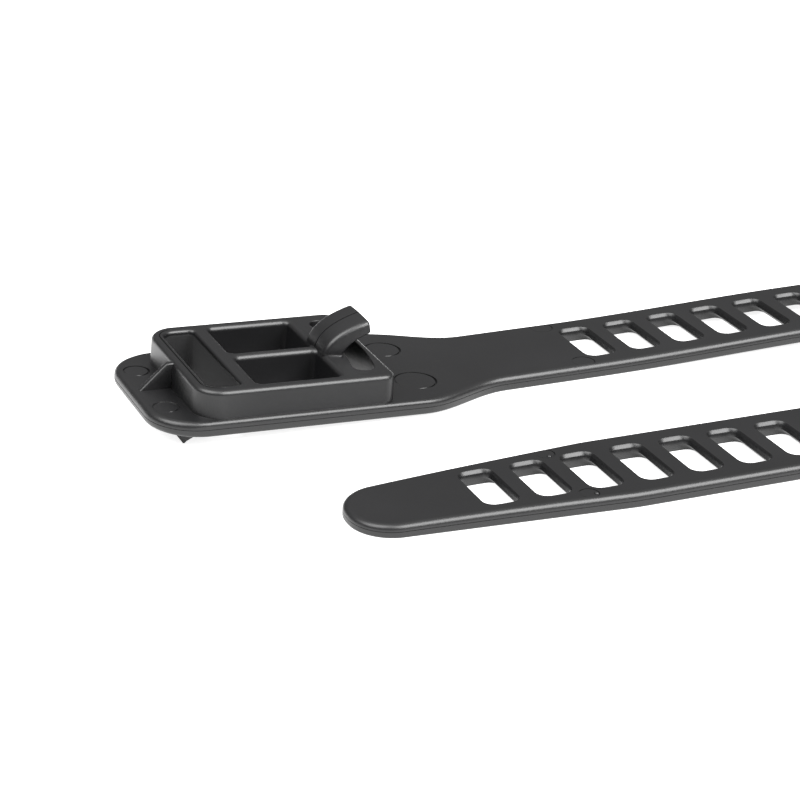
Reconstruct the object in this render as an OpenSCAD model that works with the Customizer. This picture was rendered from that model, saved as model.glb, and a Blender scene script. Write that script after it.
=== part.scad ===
// Releasable ladder cable tie, moulded in one piece from soft plastic.
// A stepped head with a hook, a tail slot and two pockets runs through a flat neck into a strap
// pierced by a row of slots. The tie lies on a table: the head rests on a ridge, the strap runs out
// flat, turns onto its edge for a half-circle bend and comes back flat beside itself.
// Lengths are in millimetres. Head sizes are measured from the left face of the head box.

/* [Strap] */
// width of the plain strap
strap_width = 28.8; // [26:0.2:32]
// thickness of strap and head plate
thickness = 3.5; // [3:0.1:4.5]
// radius along the long edges
edge_radius = 1.2; // [0.6:0.1:1.4]
// plain length from the end of the neck to the first slot
plain_length = 25; // [20:0.5:32]

/* [Ladder slots] */
// number of slots along the strap
slot_count = 35; // [32:1:38]
// distance from one slot to the next
slot_pitch = 12.45; // [11.8:0.05:13]
// slot size along the strap
slot_along = 7.8; // [7:0.1:8.6]
// slot size across the strap
slot_across = 17; // [15:0.2:17.4]
// corner radius of a slot
slot_corner = 2; // [1:0.1:2.6]
// how far both halves of a slot wall lean in to the middle
slot_draft = 0.3; // [0.1:0.05:0.5]
// how far the lower half of a rung's sides draws in to the underside
slot_flare = 1.6; // [0.8:0.1:1.8]

/* [Tail] */
// solid length after the last slot
tail_solid = 28.8; // [26:0.2:36]
// length over which the tail narrows
taper_length = 62; // [54:1:70]
// narrowing on each side at the very end
taper_depth = 4.8; // [3:0.1:5]
// radius of the round tip
tip_radius = 9.8; // [8:0.1:10]
// how much thinner the tail is at its tip, taken off the top
tip_thinning = 0.7; // [0:0.1:0.9]

/* [Head plate] */
// width of the plate under the head
plate_width = 44.2; // [42.6:0.2:48]
// plate length in front of the box
plate_lead = 9.8; // [9:0.1:12]
// corner radius of the plate
plate_corner = 11.5; // [9:0.1:12]
// start of the neck
neck_start = 55; // [52:0.5:58]
// length over which the neck narrows
neck_length = 24; // [20:0.5:28]

/* [Head box] */
// length of the box
box_length = 47.6; // [46.5:0.1:49]
// width of the box at its rim
box_width = 41.6; // [39.5:0.1:42]
// top of the box above the underside of the plate
box_height = 10.1; // [9:0.1:12]
// radius of the two corners at the closed end
box_corner = 6.5; // [5:0.1:8]
// radius of the two corners beside the neck
box_corner_neck = 3; // [1.6:0.1:3.6]
// radius of the rim
rim_radius = 1.2; // [0.6:0.05:1.4]
// lean of the box walls on each side
box_draft = 0.2; // [0:0.05:0.6]

/* [Tail slot] */
// left edge of the slot that takes the tail
tail_slot_start = 3; // [2.6:0.1:3.6]
// right edge of the slot that takes the tail
tail_slot_end = 10.9; // [9.5:0.1:11.4]
// width of the slot across the head
tail_slot_width = 34.6; // [32:0.2:35]
// radius of its outer corners
tail_slot_corner = 3; // [2:0.1:3.6]

/* [Pockets] */
// left edge of the two pockets
pocket_start = 14.6; // [13.8:0.1:15.6]
// right edge of the two pockets
pocket_end = 34.8; // [32:0.1:34.9]
// width over both pockets
pocket_width = 35.2; // [33:0.2:36]
// thickness of the rib between the pockets
pocket_rib = 2.8; // [2:0.1:4]
// corner radius of the pockets
pocket_corner = 1.4; // [0.8:0.1:2]
// floor under the pockets
pocket_floor = 2; // [1.4:0.1:3]
// width of the rounded lip round slot and pockets
lip = 0.6; // [0.2:0.05:0.7]

/* [Hook] */
// start of the hook on the deck
hook_start = 35.1; // [34.9:0.1:35.6]
// thickness of the hook at the deck
hook_root = 4.3; // [3.6:0.1:4.6]
// width of the hook
hook_width = 12.8; // [11:0.2:15]
// reach of the hook from its start
hook_reach = 11.2; // [9.5:0.1:12]
// height of the hook above the deck
hook_height = 7.9; // [7:0.1:9]
// height of the throat under the hook tip
hook_throat = 4.9; // [4.2:0.1:5.4]
// edge radius of the hook
hook_edge = 1.1; // [0.6:0.1:1.2]

/* [Deck slot] */
// left edge of the deck slot at its ends
deck_slot_start = 39.3; // [39.2:0.1:39.8]
// size of the deck slot along the head
deck_slot_along = 5.1; // [4.4:0.1:5.4]
// size of the deck slot across the head
deck_slot_across = 32.4; // [28:0.2:34]
// bulge of the deck slot towards the neck
deck_slot_bulge = 1.5; // [0.6:0.1:1.8]

/* [Gusset and ridge] */
// foot of the gusset in front of the box
gusset_foot = 7.7; // [6.4:0.1:8.2]
// flat length of the gusset at its top
gusset_flat = 1.3; // [0.8:0.1:2]
// thickness of the gusset
gusset_thickness = 1.6; // [1.2:0.1:2.4]
// distance of the ridge in front of the box
ridge_ahead = 2.3; // [1.8:0.1:3.4]
// height of the ridge
ridge_height = 3.2; // [2.4:0.1:3.6]
// foot width of the ridge
ridge_foot = 3.4; // [2.8:0.1:4.4]
// length of the ridge along its tip
ridge_length = 34; // [28:0.5:36]

/* [Lie of the tie] */
// radius of the half-circle bend
bend_radius = 33.4; // [30:0.2:40]
// length over which the strap turns onto its edge
twist_length = 60; // [54:1:72]
// distance of the tip behind the front of the head
tip_lag = 26.5; // [10:0.5:40]
// how far the strap springs clear of the table before it turns onto its edge
strap_lift = 1.5; // [0:0.1:3]
// where the pitched head runs into the flat strap
kink_at = 72; // [70:0.5:73]

/* [Hidden] */
tie_colour = [0.07, 0.07, 0.075];

// sizes that follow from the ones above
slots = floor(slot_count);
half_thick = thickness/2;
strap_half = strap_width/2;
plate_half = plate_width/2;
neck_from = neck_start + plate_lead;
first_slot = neck_from + neck_length + plain_length;
ladder_length = (slots - 1)*slot_pitch + slot_along;
tie_length = first_slot + ladder_length + tail_solid;
kink_half = 6;
kink_from = kink_at + plate_lead - kink_half;
kink_to = kink_at + plate_lead + kink_half;
pitch = atan(ridge_height/(kink_at + ridge_ahead));
kink_radius = 2*kink_half*180/(PI*pitch);
mid_plain = (kink_to + first_slot)/2;
bend_length = PI*bend_radius;
bend_from = (tie_length - bend_length + tip_lag)/2;
bend_to = bend_from + bend_length;
lift_top = bend_from - twist_length;

// fractions used for roundings
eighth = 1 - cos(45);
slot_share = 0.68;
line_share = 0.5;
corner_steps = [40, 55, 72, 90];
neck_steps = 8;
embed = 1.2;
over = 1;
fine = 32;
coarse = 16;

function smooth(u) = let (w = min(1, max(0, u))) w*w*(3 - 2*w);

// half-width of the outline at arc length s, drawn in by i
function body_half(s) =
    plate_half + (strap_half - plate_half)*smooth((s - neck_from)/neck_length)
    - taper_depth*max(0, s - tie_length + taper_length)/taper_length;
function arc_half(flat, r, i, d) = flat - r + sqrt(max(0, pow(r - i, 2) - pow(r - d, 2)));
function half_width(s, i) =
    s < plate_corner ? arc_half(plate_half, plate_corner, i, s)
    : tie_length - s < tip_radius
        ? arc_half(body_half(tie_length - tip_radius), tip_radius, i, tie_length - s)
        : body_half(s) - i;

// how much lower the top stands where the tail runs out
function thin_at(s) = tip_thinning*max(0, s - tie_length + taper_length)/taper_length;

// height of the rounded edge at a distance i inside the outline
function edge_height(i) =
    half_thick - edge_radius + sqrt(max(0, pow(edge_radius, 2) - pow(edge_radius - i, 2)));

// frame of the strap at arc length s: centre, direction across, direction up
function twist_at(s) =
    90*(smooth((s - bend_from + twist_length)/twist_length) - smooth((s - bend_to)/twist_length));
function turn_at(s) = -180*min(1, max(0, (s - bend_from)/bend_length));
function lean_at(s) = pitch*min(1, max(0, (kink_to - s)/(2*kink_half)));
function lift_at(s) = strap_lift*(smooth((s - first_slot)/(lift_top - first_slot))
                                 - smooth((s - lift_top)/twist_length));
function kink_point(s) = let (a = lean_at(s), rest = max(0, kink_from - s))
    [kink_to - mid_plain - kink_radius*sin(a) - rest*cos(a), 0,
     half_thick + kink_radius*(1 - cos(a)) + rest*sin(a)];
function lay_point(s) = let (q = twist_at(s), f = turn_at(s), back = max(0, s - bend_to),
                             rise = strap_half*sin(q) + half_thick*cos(q) + lift_at(s))
    [min(s, bend_from) - mid_plain - bend_radius*sin(f) - back,
     bend_radius*(cos(f) - 1), rise];
function centre_at(s) = s < kink_to ? kink_point(s) : lay_point(s);
function across_at(s) = let (q = twist_at(s), f = turn_at(s)) [-sin(f)*cos(q), cos(f)*cos(q), -sin(q)];
function up_at(s) = let (q = twist_at(s), f = turn_at(s), a = lean_at(s))
    a > 0 ? [sin(a), 0, cos(a)] : [-sin(f)*sin(q), cos(f)*sin(q), cos(q)];
function place(s, v, n) = centre_at(s) + v*across_at(s) + n*up_at(s);

// twenty points round the strap: six on top, four on an edge, six below, four on the other edge;
// the inner four below are moved along the strap where a slot opens wider on the underside
function ring(s, shift = 0) =
    let (i = min(edge_radius, s, tie_length - s), j = i*eighth,
         full = half_width(s, 0), mid = half_width(s, j), flat = half_width(s, i),
         side = edge_height(0), bevel = edge_height(j), top = edge_height(i), thin = thin_at(s),
         wide = min(slot_across/2, slot_share*flat), inner = max(wide - slot_corner, line_share*wide),
         moved = s + shift)
    [for (p = [[s, flat, top], [s, wide, top], [s, inner, top],
               [s, -inner, top], [s, -wide, top], [s, -flat, top],
               [s, -mid, bevel], [s, -full, side], [s, -full, -side], [s, -mid, -bevel],
               [s, -flat, -top], [moved, -wide, -top], [moved, -inner, -top],
               [moved, inner, -top], [moved, wide, -top], [s, flat, -top],
               [s, mid, -bevel], [s, full, -side], [s, full, side], [s, mid, bevel]])
        place(p[0], p[1], p[2] > 0 ? p[2] - thin : p[2])];
ring_size = len(ring(0));

// arc lengths of the rings
function slot_at(k) = first_slot + k*slot_pitch;
front_rings = concat([0, eighth*edge_radius, edge_radius],
                     [for (a = corner_steps) plate_corner*(1 - cos(a))]);
neck_rings = [for (k = [0 : neck_steps]) neck_from + k*neck_length/neck_steps];
ladder_rings = [for (k = [0 : slots - 1], e = [0, slot_corner, slot_along - slot_corner, slot_along])
    slot_at(k) + e];
tip_rings = concat([for (k = [len(corner_steps) - 1 : -1 : 0])
                        tie_length - tip_radius*(1 - cos(corner_steps[k]))],
                   [for (e = [edge_radius, eighth*edge_radius, 0]) tie_length - e]);
rings = concat(front_rings, neck_rings, ladder_rings, tip_rings);
ladder_base = len(front_rings) + len(neck_rings);
extra_base = len(rings)*ring_size;
function shift_at(r) = let (k = r - ladder_base)
    k < 0 || k >= 4*slots ? 0 : k%4 < 2 ? -slot_flare : slot_flare;

// twelve points round a slot, as arc length and offset across, whose wall stands in by d
// and whose ends lie further out
function slot_ring(k, d, out = 0) =
    let (a = slot_at(k), flat = half_width(a, edge_radius), far = half_width(a + slot_along, edge_radius),
         w0 = min(slot_across/2, slot_share*flat) - d, w1 = min(slot_across/2, slot_share*far) - d,
         r = slot_corner, e = eighth*r, lo = a + d - out, hi = a + slot_along - d + out)
    [[lo, w0 - r], [lo, r - w0], [lo + e, e - w0], [lo + r, -w0], [hi - r, -w1], [hi - e, e - w1],
     [hi, r - w1], [hi, w1 - r], [hi - e, w1 - e], [hi - r, w1], [lo + r, w0], [lo + e, w0 - e]];
arc_marks = [2, 5, 8, 11];
function slot_points(k) =
    let (rim = slot_ring(k, 0), waist = slot_ring(k, slot_draft), under = slot_ring(k, 0, slot_flare))
    concat([for (m = arc_marks) place(rim[m][0], rim[m][1], half_thick - thin_at(rim[m][0]))],
           [for (p = waist) place(p[0], p[1], -thin_at(p[0])/2)],
           [for (m = arc_marks) place(under[m][0], under[m][1], -half_thick)]);
slot_extra = len(slot_points(0));

// indices of ring points and of the points that belong to a slot
function at(r, j) = r*ring_size + j%ring_size;
function below(j) = 15 - j;
function rim_index(k, m, under) =
    let (r = ladder_base + 4*k, x = extra_base + k*slot_extra + (under ? 16 : 0),
         picks = [[0, 2], [0, 3], [-1, 0], [1, 4], [2, 4], [-1, 1],
                  [3, 3], [3, 2], [-1, 2], [2, 1], [1, 1], [-1, 3]],
         pick = picks[m%12])
    pick[0] < 0 ? x + pick[1] : at(r + pick[0], under ? below(pick[1]) : pick[1]);
function waist_index(k, m) = extra_base + k*slot_extra + 4 + m%12;
function flip(f, yes) = yes ? [f[2], f[1], f[0]] : f;
function quad(a, b, c, d) = [[a, d, c], [a, c, b]];

// skin between two rings, open where a slot passes
slot_lines = [1, 2, 3, 11, 12, 13];
function in_slot(r) = let (k = r - ladder_base) k >= 0 && k < 4*slots && k%4 < 3;
skin = [for (r = [0 : len(rings) - 2], j = [0 : ring_size - 1])
    if (!(in_slot(r) && len(search(j, slot_lines)) > 0))
        each quad(at(r, j), at(r, j + 1), at(r + 1, j + 1), at(r + 1, j))];
// each slot corner: ring, line on top, then the three rim points round its arc
corner_cells = [[0, 1, [10, 11, 0]], [0, 4, [1, 2, 3]], [3, 1, [7, 8, 9]], [3, 4, [4, 5, 6]]];
corners = [for (k = [0 : slots - 1], c = corner_cells, m = [0, 1], under = [false, true])
    flip([at(ladder_base + 4*k + c[0], under ? below(c[1]) : c[1]),
          rim_index(k, c[2][m], under), rim_index(k, c[2][m + 1], under)], under)];
walls = [for (k = [0 : slots - 1], m = [0 : 11])
    let (w0 = waist_index(k, m), w1 = waist_index(k, m + 1))
        each concat(quad(rim_index(k, m + 1, false), w1, w0, rim_index(k, m, false)),
                    quad(w1, rim_index(k, m + 1, true), rim_index(k, m, true), w0))];
ends = [[for (j = [0 : ring_size - 1]) j],
        [for (j = [ring_size - 1 : -1 : 0]) at(len(rings) - 1, j)]];

module strap() {
    polyhedron(points = concat([for (r = [0 : len(rings) - 1]) each ring(rings[r], shift_at(r))],
                              [for (k = [0 : slots - 1]) each slot_points(k)]),
               faces = concat(skin, corners, walls, ends), convexity = 12);
}

// upright rounded block from x0 to x1, with one radius at each end
module block(x0, x1, width, r0, r1, z0, z1, grow0 = 0, grow1 = 0, steps = fine) {
    hull() for (side = [-1, 1], end = [[x0 + r0, r0], [x1 - r1, r1]])
        translate([end[0], side*(width/2 - end[1]), z0])
            cylinder(h = z1 - z0, r1 = end[1] + grow0, r2 = end[1] + grow1, $fn = steps);
}

module head_box() {
    shoulder = box_height - rim_radius;
    hull() {
        block(0, box_length, box_width, box_corner, box_corner_neck, half_thick, shoulder, box_draft, 0);
        block(0, box_length, box_width, box_corner, box_corner_neck,
              shoulder, shoulder + rim_radius*(1 - eighth), 0, -eighth*rim_radius);
        block(0, box_length, box_width, box_corner, box_corner_neck, half_thick, box_height, 0, -rim_radius);
    }
}

module tail_slot() {
    block(tail_slot_start, tail_slot_end, tail_slot_width, tail_slot_corner, pocket_corner,
          -over, box_height + over);
    block(tail_slot_start, tail_slot_end, tail_slot_width, tail_slot_corner, pocket_corner,
          box_height - lip, box_height + lip, 0, 2*lip);
    block(tail_slot_start, tail_slot_end, tail_slot_width, tail_slot_corner, pocket_corner,
          -lip, lip, 2*lip, 0);
}

module pocket(side) {
    width = (pocket_width - pocket_rib)/2;
    translate([0, side*(pocket_width - width)/2, 0]) {
        block(pocket_start, pocket_end, width, pocket_corner, pocket_corner,
              pocket_floor, box_height + over, 0, 0, coarse);
        block(pocket_start, pocket_end, width, pocket_corner, pocket_corner,
              box_height - lip/2, box_height + lip/2, 0, lip, coarse);
    }
}

module deck_slot() {
    r = deck_slot_along/2;
    reach = deck_slot_across/2 - r;
    spans = 6;
    function bow(k) = let (y = reach*(2*k/spans - 1))
        [deck_slot_start + r + deck_slot_bulge*(1 - pow(y/reach, 2)), y, 0];
    for (k = [0 : spans - 1])
        hull() for (e = [k, k + 1])
            translate(bow(e)) {
                translate([0, 0, -over])
                    cylinder(h = box_height + 2*over, r = r, $fn = fine);
                translate([0, 0, box_height])
                    cylinder(h = over, r = r, $fn = fine);
            }
}

// hook as a row of rounded sections between its outer and its inner curve
function bezier(a, b, c, u) = a*(1 - u)*(1 - u) + 2*b*u*(1 - u) + c*u*u;
hook_marks = [for (k = [0 : 9]) k/10];
function hook_outer(u) = bezier([hook_start, 0], [hook_start + hook_reach*0.1, hook_height*0.65],
                                [hook_start + hook_reach, hook_height], u);
function hook_inner(u) = bezier([hook_start + hook_root, 0], [hook_start + hook_root*1.25, hook_throat*0.58],
                                [hook_start + hook_reach, hook_throat], u);
function hook_ring(o, i, z, cut) =
    let (m = (o + i)/2, d = norm(o - i)/2 - cut, n = (o - i)/norm(o - i), w = hook_width/2 - cut,
         r = hook_edge, e = eighth*r)
    [for (p = [[w - r, d], [r - w, d], [e - w, d - e], [-w, d - r], [-w, r - d], [e - w, e - d],
               [r - w, -d], [w - r, -d], [w - e, e - d], [w, r - d], [w, d - r], [w - e, d - e]])
        [m[0] + p[1]*n[0], p[0], z + m[1] + p[1]*n[1]]];
hook_points = concat(
    hook_ring(hook_outer(0), hook_inner(0), box_height - embed, 0),
    [for (u = hook_marks) each hook_ring(hook_outer(u), hook_inner(u), box_height, 0)],
    hook_ring(hook_outer(1), hook_inner(1), box_height, hook_edge*eighth));
module hook() {
    last = len(hook_marks) + 1;
    n = len(hook_points)/(last + 1);
    polyhedron(points = hook_points, convexity = 4,
        faces = concat([for (r = [0 : last - 1], j = [0 : n - 1])
                            each quad(r*n + j, r*n + (j + 1)%n, (r + 1)*n + (j + 1)%n, (r + 1)*n + j)],
                       [[for (j = [0 : n - 1]) j], [for (j = [n - 1 : -1 : 0]) last*n + j]]));
}

module gusset() {
    top = box_height - rim_radius/2;
    rotate([90, 0, 0])
        linear_extrude(height = gusset_thickness, center = true)
            polygon([[-gusset_foot, thickness - embed], [-gusset_foot, thickness], [-gusset_flat, top],
                     [embed, top], [embed, thickness - embed]]);
}

module ridge() {
    blunt = 0.4;
    slope = 2*ridge_height;
    translate([-ridge_ahead, 0, 0])
        hull() {
            translate([-ridge_foot/2, -(ridge_length + slope)/2, 0])
                cube([ridge_foot, ridge_length + slope, embed]);
            translate([-blunt/2, -ridge_length/2, -ridge_height])
                cube([blunt, ridge_length, embed]);
        }
}

// puts something drawn on the head into its place at the pitched end of the strap
module on_head() {
    translate(centre_at(0))
        rotate([0, pitch, 0])
            translate([plate_lead, 0, -half_thick])
                children();
}

module cable_tie() {
    color(tie_colour)
        difference() {
            union() {
                strap();
                on_head() {
                    head_box();
                    hook();
                    gusset();
                    ridge();
                }
            }
            on_head() {
                tail_slot();
                pocket(1);
                pocket(-1);
                deck_slot();
            }
        }
}

cable_tie();
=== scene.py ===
"""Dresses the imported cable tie: one soft moulding with its finish, and a plain studio round it."""

import math
from types import SimpleNamespace

import bmesh
import bpy
from mathutils import Matrix, Vector
from mathutils.geometry import delaunay_2d_cdt


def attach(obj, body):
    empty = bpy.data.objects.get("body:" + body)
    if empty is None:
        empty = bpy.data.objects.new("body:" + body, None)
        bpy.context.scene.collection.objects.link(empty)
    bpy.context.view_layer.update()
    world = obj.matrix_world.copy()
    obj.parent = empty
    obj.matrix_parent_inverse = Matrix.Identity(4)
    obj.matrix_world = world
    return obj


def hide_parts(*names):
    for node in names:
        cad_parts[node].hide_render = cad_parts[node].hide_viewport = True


bl_info = {
    "name": "Releasable cable tie",
    "version": (1, 0, 0),
    "blender": (4, 5, 0),
    "location": "View3D > Sidebar > Cable tie",
    "description": "Moulds a releasable ladder cable tie, lays it down and sets a plain studio round it",
    "category": "Object",
}

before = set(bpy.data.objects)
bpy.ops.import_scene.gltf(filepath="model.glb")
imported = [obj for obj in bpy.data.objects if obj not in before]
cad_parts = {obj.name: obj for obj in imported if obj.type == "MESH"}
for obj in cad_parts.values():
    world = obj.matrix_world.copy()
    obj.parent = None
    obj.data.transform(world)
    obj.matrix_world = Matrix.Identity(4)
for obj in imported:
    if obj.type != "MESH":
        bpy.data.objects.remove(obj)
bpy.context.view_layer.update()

MM = 0.001          # the moulding is drawn in millimetres and laid down in metres
WELD = 0.004        # points closer than this are one point
GUARD = 0.04        # level collar round a rounding, so that a fill starts flat
STRAP_STEP = 2.3    # spacing of points along the plain strap and the tail
PATH_STEP = 0.5     # spacing of the stations that the strap is laid along
PATH_SPARE = 5.0    # stations in front of the plate and past the tip
CRISP = math.radians(38)        # edges that turn more than this aren't smoothed over
SEAM_LINES = (8.0, 0.0, -8.0)   # points across the strap where one stretch meets the next

# marks of the mould on the straight tie: along it from the left face of the box, and across it
PLATE_MARKS = ((57.0, 10.1, 4.3, 0.5), (57.0, -10.1, 4.9, 0.5),     # then radius and depth
               (-4.9, 11.1, 2.9, 0.5), (-4.9, -11.1, 2.9, 0.3))
NECK_PINS = (101.0, 11.5)
TAIL_PINS = (512.3, 10.6)
NIBS = ((512.0, -9.1), (510.8, 11.2))


def length(name, description, millimetres):
    """A size that a user can change, shown in the scene's own unit."""
    return bpy.props.FloatProperty(
        name=name, description=description, default=millimetres * MM, unit="LENGTH", precision=5)


def share(name, description, value, top=1.0):
    """A plain number between nothing and top."""
    return bpy.props.FloatProperty(name=name, description=description, default=value, min=0.0, max=top)


def colour(name, description, value):
    return bpy.props.FloatVectorProperty(
        name=name, description=description, default=value, size=4, min=0.0, max=1.0, subtype="COLOR")


def direction(name, description, value):
    return bpy.props.FloatVectorProperty(name=name, description=description, default=value, subtype="DIRECTION")


class StrapSizes(bpy.types.PropertyGroup):
    """The ladder strap and its tail."""

    width: length("Width", "Width of the plain strap", 28.8)
    thickness: length("Thickness", "Thickness of strap and head plate", 3.5)
    edge_radius: length("Edge radius", "Rounding along the long edges", 1.4)
    under_radius: length("Under radius", "Rounding along the long edges of the underside", 0.5)
    front_radius: length("Front radius", "Rounding of the underside along the front of the plate", 1.3)
    parting: length("Parting line", "Depth of the fine line round the edges where the mould closes", 0.12)
    plain_length: length("Plain length", "From the end of the neck to the first slot", 25.0)
    slot_count: bpy.props.IntProperty(
        name="Slots", description="Number of slots along the strap", default=35, min=2)
    slot_pitch: length("Slot pitch", "From one slot to the next", 12.45)
    slot_along: length("Slot length", "Slot size along the strap", 7.8)
    slot_across: length("Slot width", "Slot size across the strap", 17.0)
    slot_corner: length("Slot corner", "Corner radius of a slot", 2.0)
    slot_bevel: length("Slot bevel", "Bevel at the two ends of a slot, half as much along its sides", 0.75)
    slot_draft: length("Slot draft", "How far both halves of a slot wall lean in to the middle", 0.3)
    slot_flare: length("Slot flare", "How far the lower half of a rung's sides draws in to the underside", 1.6)
    tail_solid: length("Solid tail", "Solid length after the last slot", 28.8)
    taper_length: length("Taper length", "Length over which the tail narrows", 62.0)
    taper_depth: length("Taper depth", "Narrowing on each side at the very end", 4.8)
    tip_radius: length("Tip radius", "Radius of the round tip", 9.8)
    tip_thinning: length("Tip thinning", "How much thinner the tail is at its tip", 0.7)
    pin_radius: length("Pin marks", "Radius of the ejector pin marks on the rails", 2.8)
    tail_pin_radius: length("Tail pin marks", "Radius of the ejector pin marks near the tail", 2.2)
    nib_radius: length("Nib radius", "Radius of the beads of flash beside the tail's pin marks", 0.55)
    nib_height: length("Nib height", "Height of the beads of flash beside the tail's pin marks", 0.35)
    pin_depth: length("Pin mark depth", "How deep the ejector pins mark the rails", 0.24)


class HeadSizes(bpy.types.PropertyGroup):
    """The head, measured from the left face of its box and up from the plate's underside."""

    plate_width: length("Plate width", "Width of the plate under the head", 44.2)
    plate_lead: length("Plate lead", "How far the plate stands out in front of the box", 9.8)
    plate_corner: length("Plate corner", "Corner radius of the plate", 11.5)
    ledge_radius: length("Ledge radius", "Rounding of the plate's edge beside the box", 1.0)
    neck_start: length("Neck start", "Where the plate starts to narrow", 55.0)
    neck_length: length("Neck length", "Length over which the plate narrows to the strap", 24.0)
    box_length: length("Box length", "Length of the raised box", 47.6)
    box_width: length("Box width", "Width of the raised box", 41.6)
    box_height: length("Box height", "Height of the box above the plate's underside", 10.1)
    box_corner: length("Box corner", "Upright corner radius at the tail slot", 6.5)
    box_corner_neck: length("Box neck corner", "Upright corner radius at the neck", 3.0)
    box_draft: length("Box draft", "How far the box walls lean in to the top", 0.12)
    rim_radius: length("Rim radius", "Rounding along the top of the box", 1.2)
    tail_slot_start: length("Tail slot start", "Left side of the tail slot", 3.0)
    tail_slot_end: length("Tail slot end", "Right side of the tail slot", 10.9)
    tail_slot_width: length("Tail slot width", "Size of the tail slot across the head", 34.6)
    tail_slot_corner: length("Tail slot corner", "Corner radius on the left of the tail slot", 3.0)
    insert_line: length("Insert line", "Witness line of the mould's insert, outside the tail slot", 1.15)
    pocket_start: length("Pocket start", "Left side of the pockets", 14.6)
    pocket_end: length("Pocket end", "Right side of the pockets", 34.8)
    pocket_width: length("Pocket width", "Both pockets with the rib between them", 35.2)
    pocket_rib: length("Pocket rib", "Width of the rib between the pockets", 2.8)
    pocket_corner: length("Pocket corner", "Corner radius of a pocket", 1.4)
    pocket_floor: length("Pocket floor", "Thickness left under a pocket", 2.0)
    lip: length("Lip", "Rounding where the tail slot opens", 0.85)
    pocket_lip: length("Pocket lip", "Rounding where the pockets open", 1.25)
    tail_slot_draft: length("Tail slot draft", "How much the tail slot narrows on each side on its way down", 0.45)
    under_lip: length("Under lip", "Rounding where slots open on the underside", 0.15)
    hook_start: length("Hook start", "Left side of the hook's root", 35.1)
    hook_root: length("Hook root", "Thickness of the hook at its root", 4.3)
    hook_width: length("Hook width", "Width of the hook", 12.8)
    hook_reach: length("Hook reach", "Length of the hook along the head", 11.2)
    hook_height: length("Hook height", "Height of the hook's tip above the box", 7.9)
    hook_throat: length("Hook throat", "Clear height under the hook's tip", 4.9)
    hook_edge: length("Hook edge", "Rounding of the hook's edges", 1.4)
    hook_draft: length("Hook draft", "How far the hook's sides lean out to its inside, and in to its back", 0.45)
    hook_line: length("Hook line", "Depth of the parting line along the hook's back", 0.8)
    hook_crown: length("Hook crown", "How far the hook's back is crowned", 0.2)
    deck_slot_start: length("Deck slot start", "Left side of the bowed slot at its ends", 39.3)
    deck_slot_along: length("Deck slot length", "Size of the bowed slot along the head", 5.1)
    deck_slot_across: length("Deck slot width", "Size of the bowed slot across the head", 32.4)
    deck_slot_bulge: length("Deck slot bulge", "How far the slot bows to the neck", 1.5)
    gusset_foot: length("Gusset foot", "How far the gusset reaches out in front of the box", 7.7)
    gusset_flat: length("Gusset flat", "Level part of the gusset's edge", 1.3)
    gusset_thickness: length("Gusset thickness", "Thickness of the gusset", 1.6)
    ridge_ahead: length("Ridge place", "Distance of the foot ridge in front of the box", 2.3)
    ridge_height: length("Ridge height", "Height of the foot ridge", 3.2)
    ridge_foot: length("Ridge foot", "Width of the foot ridge at the plate", 3.4)
    ridge_length: length("Ridge length", "Length of the foot ridge along its tip", 34.0)


class LieSizes(bpy.types.PropertyGroup):
    """How the tie lies on the table."""

    bend_radius: length("Bend radius", "Radius of the half-circle bend", 33.4)
    twist_length: length("Twist length", "Length over which the strap turns onto its edge", 60.0)
    tip_lag: length("Tip lag", "Distance of the tip behind the front of the head", 26.5)
    strap_lift: length("Strap lift", "How far the strap springs clear of the table", 1.5)
    kink_at: length("Kink place", "Where the pitched head runs into the flat strap", 72.0)
    kink_half: length("Kink half", "Half the length of that bend", 6.0)


class FinishSettings(bpy.types.PropertyGroup):
    """The satin black soft plastic."""

    black: colour("Black", "Colour of the plastic", (0.003, 0.003, 0.0033, 1.0))
    bloom: colour("Bloom", "Colour where the skin is a little chalky", (0.006, 0.006, 0.0066, 1.0))
    satin: share("Roughness", "Roughness of the moulded skin", 0.36)
    matt: share("Matt", "How much rougher the tail slot's walls and the foot ridge are", 0.6)
    grain_size: length("Grain", "Size of the fine grain of the skin", 0.35)


class StudioSettings(bpy.types.PropertyGroup):
    """Floor, lights and camera."""

    floor_colour: colour("Floor", "Colour of the floor", (0.47, 0.47, 0.47, 1.0))
    floor_glow: share("Floor glow", "Light that comes through the floor from below", 0.86, 5.0)
    room: share("Room", "Brightness of the room near the floor", 0.2, 5.0)
    ceiling: share("Ceiling", "How much brighter the room grows overhead", 1.22, 5.0)
    key: share("Key light", "Strength of the broad light overhead", 6.7, 50.0)
    key_spread: bpy.props.FloatProperty(
        name="Light spread", description="Angle that each of the two lights fills, seen from the tie",
        default=math.radians(50), min=0.0, max=math.pi, unit="ROTATION")
    key_from: direction("Key from", "The way to the broad light", (0.39, -0.55, 0.74))
    fill: share("Fill light", "Strength of the soft light from the left", 4.0, 50.0)
    fill_from: direction("Fill from", "The way to the soft light on the left", (-0.5, -0.1, 0.85))
    camera_place: bpy.props.FloatVectorProperty(
        name="Camera", description="Where the camera stands", default=(-0.244394, -0.47434, 0.221292),
        subtype="TRANSLATION", unit="LENGTH")
    camera_aim: direction("Aim", "The way the camera looks", (0.372896, 0.837349, -0.399744))
    camera_roll: bpy.props.FloatProperty(
        name="Roll", description="Turn of the camera about its own axis", default=0.031256, unit="ROTATION")
    lens: bpy.props.FloatProperty(name="Lens", description="Focal length in millimetres", default=105.77, min=1.0)


# ---------------------------------------------------------------- sizes in millimetres


def smooth(u):
    """Eases from nothing to one."""
    u = min(1.0, max(0.0, u))
    return u * u * (3.0 - 2.0 * u)


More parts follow.
